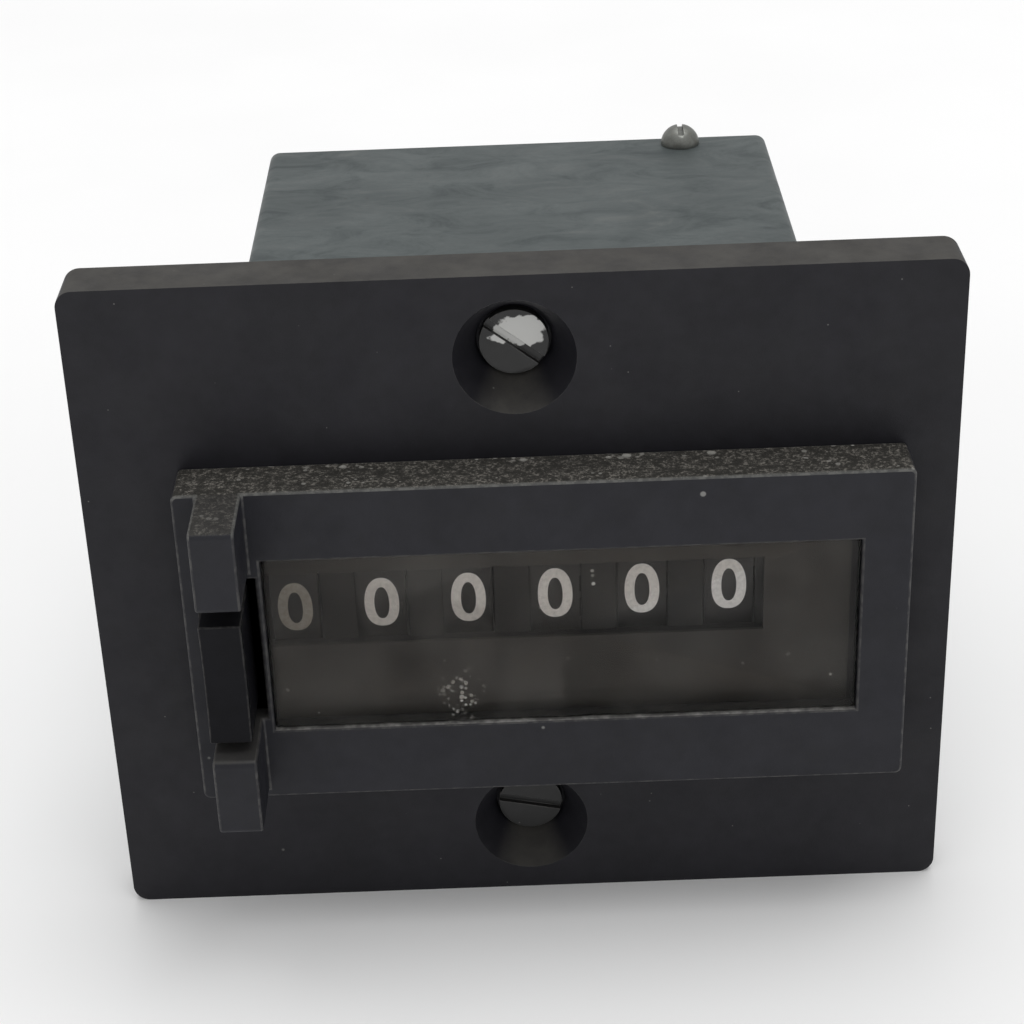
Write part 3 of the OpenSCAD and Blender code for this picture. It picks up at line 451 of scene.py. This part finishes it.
def all_materials():
    """Every finish of the record's material slots, by slot name."""
    brass, steel = (0.72, 0.52, 0.24), (0.56, 0.56, 0.54)
    return {
        "flange_black": black_plastic("flange_black", FLANGE_COLOUR, 0.52, specks=0.5, dust=0.9),
        "bezel_black": black_plastic("bezel_black", BEZEL_COLOUR, 0.50, specks=0.3, grit=1.0, dust=0.6),
        "key_black": black_plastic(
            "key_black", KEY_COLOUR, 0.36, specks=0.2, edge_wear_and_highlight=0.6, dust=0.05, grain=0.005, specular=0.10
        ),
        "mask_brown": mask_material(),
        "wheel_black": black_plastic("wheel_black", WHEEL_COLOUR, 0.45, specks=0.1, dust=0.2, edge_wear_and_highlight=0.3),
        "pinion_nylon": black_plastic(
            "pinion_nylon", (0.52, 0.49, 0.41), 0.45, specks=0, edge_wear_and_highlight=0, dust=0, specular=0.5
        ),
        "bobbin_plastic": black_plastic(
            "bobbin_plastic", (0.46, 0.42, 0.33), 0.5, specks=0, edge_wear_and_highlight=0, dust=0
        ),
        "board_phenolic": black_plastic(
            "board_phenolic", (0.060, 0.026, 0.014), 0.42, dust=0.1, edge_wear_and_highlight=0.5
        ),
        "lead_red": black_plastic(
            "lead_red", (0.30, 0.02, 0.018), 0.4, specks=0, edge_wear_and_highlight=0, dust=0, specular=0.5
        ),
        "clear_acrylic": acrylic_material(),
        "can_zinc": can_material(),
        "screw_zinc": metal("screw_zinc", (0.20, 0.205, 0.19), 0.42, 0.5, (0.14, 0.13, 0.10), size=1.5),
        "screw_black": screw_head_material(),
        "frame_zinc": metal("frame_zinc", (0.60, 0.61, 0.58), 0.34, 0.25, line=(1, 0.06, 1)),
        "bright_steel": metal("bright_steel", steel, 0.24, 0.15, size=3, line=(0.06, 1, 1)),
        "spring_steel": metal("spring_steel", steel, 0.28, 0.1, size=2),
        "magnet_iron": metal("magnet_iron", (0.36, 0.37, 0.36), 0.42, 0.5, (0.16, 0.11, 0.07)),
        "spacer_brass": metal("spacer_brass", brass, 0.32, 0.3, (0.30, 0.20, 0.09), size=3),
        "spring_bronze": metal("spring_bronze", (0.70, 0.44, 0.20), 0.3, 0.3, (0.30, 0.17, 0.07), size=3),
        "tinned_brass": metal("tinned_brass", (0.66, 0.62, 0.50), 0.34, 0.5, (0.36, 0.26, 0.12), size=2),
        "winding_copper": winding_material(),
    }


MATERIALS = {slot: s.material for slot, s in all_materials().items()}
SLOT_OF = {p["node"]: p["material_slot"] for p in RECORD["subparts"]}
BODY_OF = {n: body for body, nodes in RECORD["behaviour"]["bodies"].items() for n in nodes}


# ---------------------------------------------------------------- pieces

WELD_MM = 0.002
FLAT_DEG = 0.4
SHARP_DEG = 35
SMOOTH_DEG = 50


def new_object(name, mesh, material):
    obj = bpy.data.objects.new(name, mesh)
    bpy.context.scene.collection.objects.link(obj)
    mesh.materials.clear()
    mesh.materials.append(material)
    return obj


def clean_mesh(bm):
    """Merges doubled corners and the flat triangles of a copied CAD mesh."""
    bmesh.ops.remove_doubles(bm, verts=bm.verts, dist=WELD_MM * MM)
    bmesh.ops.dissolve_limit(
        bm, angle_limit=math.radians(FLAT_DEG), verts=bm.verts, edges=bm.edges,
        use_dissolve_boundaries=False,
    )


def sharp_edges(bm, degrees):
    limit = math.radians(degrees)
    return [e for e in bm.edges if len(e.link_faces) == 2 and e.calc_face_angle(0) > limit]


def rounded_copy(node, name, radius_mm, segments=3):
    """A copy of a CAD node with its sharp edges rounded; the roundings are marked in the worn layer,
    which the finishes paint paler, on the plastics as wear and painted edge highlight.
    """
    source = frame["nodes"][node]
    bm = bmesh.new()
    bm.from_mesh(source.data)
    bm.transform(source.matrix_world)
    clean_mesh(bm)
    worn = bm.faces.layers.float.new("worn")
    made = bmesh.ops.bevel(
        bm, geom=sharp_edges(bm, SHARP_DEG), offset=radius_mm * MM, offset_type="OFFSET",
        segments=segments, profile=0.5, affect="EDGES", clamp_overlap=True, face_strength_mode="ALL",
    )
    for face in made["faces"]:
        face[worn] = 1.0
    bmesh.ops.triangulate(bm, faces=[f for f in bm.faces if len(f.verts) > 4])
    bmesh.ops.recalc_face_normals(bm, faces=bm.faces)
    mesh = bpy.data.meshes.new(name)
    bm.to_mesh(mesh)
    bm.free()
    mesh.shade_smooth()
    mesh.set_sharp_from_angle(angle=math.radians(SMOOTH_DEG))
    obj = new_object(name, mesh, MATERIALS[SLOT_OF[node]])
    smooth = obj.modifiers.new("even_normals", "WEIGHTED_NORMAL")
    smooth.keep_sharp = True
    smooth.use_face_influence = True
    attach(obj, BODY_OF[node])
    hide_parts(node)
    return obj


# CAD node, piece that replaces it, radius of its edges in mm.
ROUNDED = [
    ("flange_plate", "flange", 0.30),
    ("front_bezel", "bezel", 0.22),
    ("window_lens", "window", 0.08),
    ("digit_mask", "mask", 0.06),
    ("reset_key", "key", 0.28),
    ("housing_can", "can", 0.20),
    ("cover_screws", "cover_screw_heads", 0.10),
    ("panel_screws", "panel_screw_heads", 0.16),
    ("terminal_board", "board", 0.20),
    ("terminal_blades", "blades", 0.12),
]
WHEEL_EDGE_R, WHEEL_EDGE_SEGMENTS = 0.07, 2


def paint_cad_nodes(done):
    """Nodes that keep their CAD shape get the finish of their slot."""
    for node, obj in frame["nodes"].items():
        if node in done:
            continue
        obj.data.materials.clear()
        obj.data.materials.append(MATERIALS[SLOT_OF[node]])


# ---------------------------------------------------------------- figures

# Figures in mm: width, height and line; how far the ink stands out, reaches in and steps per stroke.
FIGURE_W, FIGURE_H, FIGURE_LINE = 3.02, 4.90, 0.86
INK_PROUD = 0.020
INK_DEEP = 0.060
INK_STEP = 0.004
FIGURE_STEP_DEG = 36


def arc(cx, cy, rx, ry, a0, a1, power=2.0, steps=28):
    """Points along an ellipse, or a squarer superellipse, from a0 to a1 degrees."""
    out = []
    for i in range(steps + 1):
        a = math.radians(a0 + (a1 - a0) * i / steps)
        c, s = math.cos(a), math.sin(a)
        k = 2 / power
        out.append((cx + rx * math.copysign(abs(c) ** k, c), cy + ry * math.copysign(abs(s) ** k, s)))
    return out


def figure_strokes(digit):
    """Centre lines of a figure in a box from -1 to 1; True marks a closed loop."""
    if digit == 0:
        return [(arc(0, 0, 1, 1, 90, 450, 2.25, 56)[:-1], True)]
    if digit == 1:
        return [([(-0.55, 0.62), (0.12, 1), (0.12, -1)], False)]
    if digit == 2:
        bowl = arc(0, 0.46, 0.92, 0.54, 160, -35, 2.1)
        return [(bowl + [(-0.92, -1), (1, -1)], False)]
    if digit == 3:
        top = arc(-0.1, 0.5, 0.86, 0.5, 150, -90, 2.1)
        low = arc(-0.1, -0.5, 1.0, 0.5, 90, -150, 2.1)
        return [(top + low[1:], False)]
    if digit == 4:
        return [([(0.42, -1), (0.42, 1), (-1, -0.42), (1, -0.42)], False)]
    if digit == 5:
        bowl = arc(-0.08, -0.36, 1, 0.64, 128, -150, 2.1)
        return [([(0.85, 1), (-0.72, 1), (-0.86, 0.08)] + bowl, False)]
    if digit == 6:
        loop = arc(0, -0.40, 0.96, 0.60, 90, 450, 2.2, 44)[:-1]
        return [(loop, True), (arc(0.1, -0.30, 1.06, 1.30, 178, 62, 2.0), False)]
    if digit == 7:
        return [([(-0.95, 1), (0.95, 1), (-0.25, -1)], False)]
    if digit == 8:
        top = arc(0, 0.49, 0.80, 0.51, 90, 450, 2.1, 40)[:-1]
        low = arc(0, -0.46, 0.98, 0.54, 90, 450, 2.1, 44)[:-1]
        return [(top, True), (low, True)]
    return [([(-x, -y) for x, y in line], closed) for line, closed in figure_strokes(6)]


def finer(points, closed, step=0.12):
    """Adds points so that no piece of the line is longer than step."""
    ends = points + points[:1] if closed else points
    out = []
    for (x0, y0), (x1, y1) in zip(ends, ends[1:]):
        count = max(1, math.ceil(math.hypot(x1 - x0, y1 - y0) / step))
        out += [(x0 + (x1 - x0) * i / count, y0 + (y1 - y0) * i / count) for i in range(count)]
    return out if closed else out + [ends[-1]]


def sides(points, closed, half):
    """Left and right border of a line of width 2 x half, mitred at its bends."""
    n = len(points)
    left, right = [], []
    for i, (x, y) in enumerate(points):
        ax, ay = points[(i - 1) % n] if closed or i > 0 else points[i]
        bx, by = points[(i + 1) % n] if closed or i < n - 1 else points[i]
        t1, t2 = Vector((x - ax, y - ay)), Vector((bx - x, by - y))
        t1 = t1.normalized() if t1.length > 1e-9 else t2.normalized()
        t2 = t2.normalized() if t2.length > 1e-9 else t1
        mean = (t1 + t2).normalized() if (t1 + t2).length > 1e-6 else t1
        reach = half / max(0.45, mean.dot(t1))
        nx, ny = -mean.y * reach, mean.x * reach
        left.append((x + nx, y + ny))
        right.append((x - nx, y - ny))
    return left, right


def add_stroke(bm, line, closed, place, layer):
    """One closed band of ink, wrapped on a wheel by place(u, v, height)."""
    left, right = sides(line, closed, FIGURE_LINE / 2)
    top = INK_PROUD + layer * INK_STEP
    rings = []
    for (lu, lv), (ru, rv) in zip(left, right):
        corners = [(lu, lv, top), (ru, rv, top), (ru, rv, -INK_DEEP), (lu, lv, -INK_DEEP)]
        rings.append([bm.verts.new(place(*c)) for c in corners])
    pairs = list(zip(rings, rings[1:])) + ([(rings[-1], rings[0])] if closed else [])
    for a, b in pairs:
        for k in range(4):
            bm.faces.new((a[k], a[(k + 1) % 4], b[(k + 1) % 4], b[k]))
    if not closed:
        bm.faces.new(rings[0][::-1])
        bm.faces.new(rings[-1])


def figures_on(wheel, turn_deg, material):
    """The figures 0 to 9 round one wheel, 0 at the front."""
    low, high = node_box(wheel + "_wheel")
    joint = next(j for j in RECORD["behaviour"]["joints"] if j["name"] == wheel + "_turn")
    cx, cy, cz = (v / MM for v in joint["pos_m"])
    radius = (high.z - low.z) / 2
    bm = bmesh.new()
    for digit in range(10):
        start = math.radians(digit * FIGURE_STEP_DEG + turn_deg)

        def place(u, v, height, start=start):
            a = start + v / radius
            r = radius + height
            return Vector((cx + u, cy - r * math.cos(a), cz + r * math.sin(a))) * MM

        sx = (FIGURE_W - FIGURE_LINE) / 2
        sy = (FIGURE_H - FIGURE_LINE) / 2
        for layer, (line, closed) in enumerate(figure_strokes(digit)):
            points = finer([(x * sx, y * sy) for x, y in line], closed)
            add_stroke(bm, points, closed, place, layer)
    bmesh.ops.recalc_face_normals(bm, faces=bm.faces)
    mesh = bpy.data.meshes.new(wheel + "_figures")
    bm.to_mesh(mesh)
    bm.free()
    obj = new_object(wheel + "_figures", mesh, material)
    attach(obj, wheel + "_wheel")
    return obj


INK = ink_material("figure_ink", (0.88, 0.88, 0.87), 0.35).material
INK_FADED = ink_material("figure_ink_faded", (0.42, 0.40, 0.355), 0.5).material
# Degrees that the print on each wheel is out of line.
FIGURE_TURN = {
    "units": 2.0, "tens": 1.3, "hundreds": 0.6, "thousands": 0.0, "ten_thousands": -0.9,
    "hundred_thousands": -1.9,
}


# ---------------------------------------------------------------- stage

# Camera in mm and degrees, matched to the photo; light and floor in metres.
CAMERA_AT = Vector((-0.197, -183.915, 106.342)) * MM
CAMERA_TO = Vector((-0.707, -5.0, 9.038)) * MM
CAMERA_ROLL = math.radians(-2.206)
CAMERA_LENS = 83.29
SENSOR = 36.0
FLOOR_HALF = 3.0
TOP_LIGHT_AT = (0.10, 0.15, 1.5)
TOP_LIGHT_SIZE = (1.4, 1.0)
TOP_LIGHT_WATTS = 11.0
WORLD_LIGHT = 0.72
WORLD_SEEN = 0.88


def add_camera():
    data = bpy.data.cameras.new("camera")
    data.lens = CAMERA_LENS
    data.sensor_width = SENSOR
    data.clip_start = 0.005
    data.clip_end = 50
    data.dof.use_dof = False
    obj = bpy.data.objects.new("camera", data)
    bpy.context.scene.collection.objects.link(obj)
    turn = (CAMERA_TO - CAMERA_AT).to_track_quat("-Z", "Y").to_matrix()
    turn = turn @ Matrix.Rotation(CAMERA_ROLL, 3, "Z")
    obj.matrix_world = Matrix.Translation(CAMERA_AT) @ turn.to_4x4()
    bpy.context.scene.camera = obj


def add_area(name, at, to, size, watts):
    """A white rectangular light that looks from one point to another."""
    data = bpy.data.lights.new(name, "AREA")
    data.shape = "RECTANGLE"
    data.size, data.size_y = size
    data.energy = watts
    obj = bpy.data.objects.new(name, data)
    bpy.context.scene.collection.objects.link(obj)
    at, to = Vector(at), Vector(to)
    obj.matrix_world = Matrix.Translation(at) @ (to - at).to_track_quat("-Z", "Y").to_matrix().to_4x4()


def add_world():
    """Soft grey surroundings; the camera itself sees them as pale as the floor."""
    world = bpy.data.worlds.new("studio")
    world.use_nodes = True
    tree = world.node_tree
    back = tree.nodes["Background"]
    path = tree.nodes.new("ShaderNodeLightPath")
    pick = tree.nodes.new("ShaderNodeMapRange")
    pick.inputs["To Min"].default_value = WORLD_LIGHT
    pick.inputs["To Max"].default_value = WORLD_SEEN
    tree.links.new(path.outputs["Is Camera Ray"], pick.inputs["Value"])
    tree.links.new(pick.outputs["Result"], back.inputs["Strength"])
    back.inputs["Color"].default_value = (1, 1, 1, 1)
    bpy.context.scene.world = world


def add_floor(level):
    mesh = bpy.data.meshes.new("floor")
    bm = bmesh.new()
    bmesh.ops.create_grid(bm, x_segments=8, y_segments=8, size=FLOOR_HALF)
    bm.to_mesh(mesh)
    bm.free()
    obj = new_object("floor", mesh, stage_material().material)
    obj.location.z = level


def set_view():
    settings = bpy.context.scene.view_settings
    settings.view_transform = "Standard"
    settings.look = "None"
    settings.exposure = 0
    settings.gamma = 1


# ---------------------------------------------------------------- build

for node, name, radius in ROUNDED:
    rounded_copy(node, name, radius)
for wheel in WHEELS:
    rounded_copy(wheel + "_wheel", wheel + "_drum", WHEEL_EDGE_R, WHEEL_EDGE_SEGMENTS)
    ink = INK_FADED if wheel == "hundred_thousands" else INK
    figures_on(wheel, FIGURE_TURN[wheel], ink)
paint_cad_nodes({n for n, _, _ in ROUNDED} | {w + "_wheel" for w in WHEELS})

add_camera()
add_world()
add_area("top_light", TOP_LIGHT_AT, (0, 0, 0), TOP_LIGHT_SIZE, TOP_LIGHT_WATTS)
add_floor(cad_box[0][2])
set_view()
